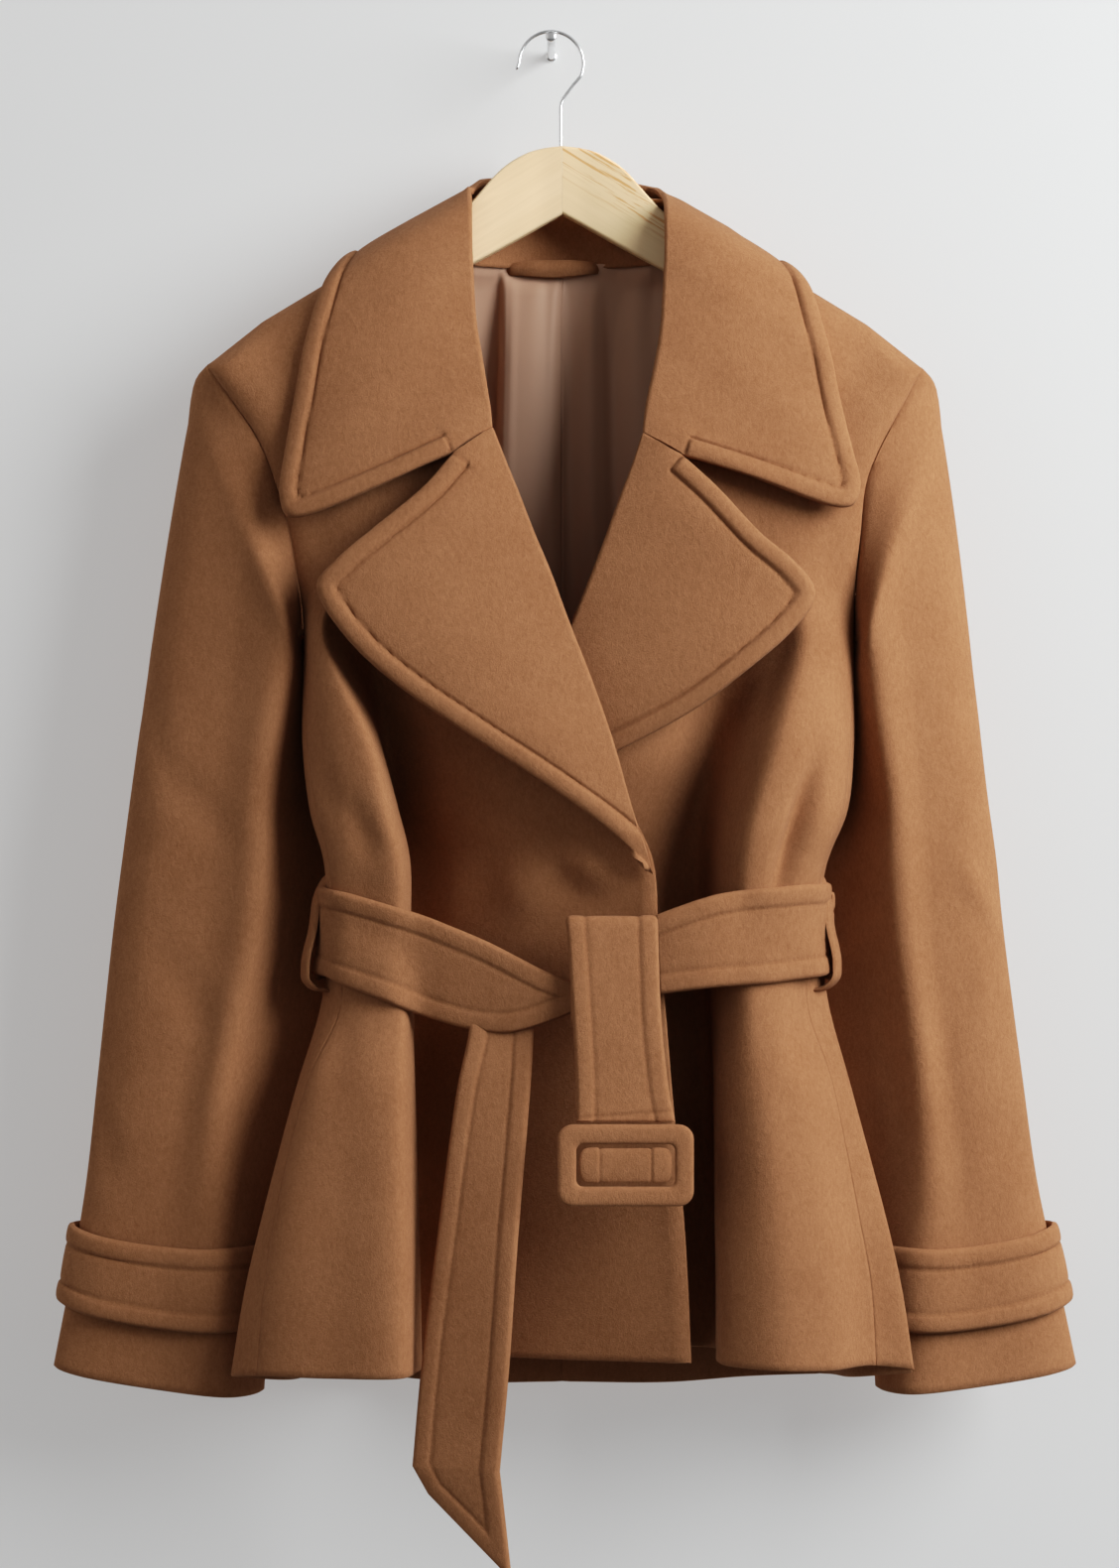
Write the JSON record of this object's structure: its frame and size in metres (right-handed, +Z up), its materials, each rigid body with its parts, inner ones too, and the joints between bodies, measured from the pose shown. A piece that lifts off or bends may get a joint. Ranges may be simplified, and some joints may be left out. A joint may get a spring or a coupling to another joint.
{
  "type": "belted jacket on a hanger",
  "caption": "Short double-breasted wool jacket with wide collar and lapels, knotted belt with covered buckle and strapped cuffs, hung on a wooden hanger from a wall peg.",
  "frame": {"origin": "where the axis of the wall peg meets the wall, on the peg's flat foot", "axes": "+Y into the wall along the peg, +Z up, so the jacket's front faces -Y and +X is the viewer's right"},
  "size_m": [0.625, 0.17, 0.9306],
  "materials": {
    "camel_wool": "brushed wool with a short nap",
    "camel_wool_padded": "brushed wool over padding, with a stitched border",
    "satin_lining": "soft satin",
    "pine": "pale, smooth, clear-lacquered",
    "bright_steel": "polished"
  },
  "bodies": {
    "root": {"front_left": "camel_wool", "front_right": "camel_wool", "side_left": "camel_wool", "side_right": "camel_wool", "back_left": "camel_wool", "back_right": "camel_wool", "sleeve_left": "camel_wool", "sleeve_right": "camel_wool", "collar_stand": "camel_wool", "back_neck_facing": "camel_wool", "hanger_loop": "camel_wool", "belt_left": "camel_wool", "belt_right": "camel_wool", "belt_back": "camel_wool", "belt_loop_left": "camel_wool", "belt_loop_right": "camel_wool", "belt_drop": "camel_wool", "belt_knot": "camel_wool", "belt_tail": "camel_wool", "cuff_strap_left": "camel_wool", "cuff_strap_right": "camel_wool", "collar_left": "camel_wool_padded", "collar_right": "camel_wool_padded", "lapel_left": "camel_wool_padded", "lapel_right": "camel_wool_padded", "buckle": "camel_wool_padded", "buckle_bar": "camel_wool_padded", "lining_back_left": "satin_lining", "lining_back_right": "satin_lining", "hanger_arm_left": "pine", "hanger_arm_right": "pine", "hanger_hook": "bright_steel", "wall_peg": "bright_steel"}
  },
  "joints": []
}
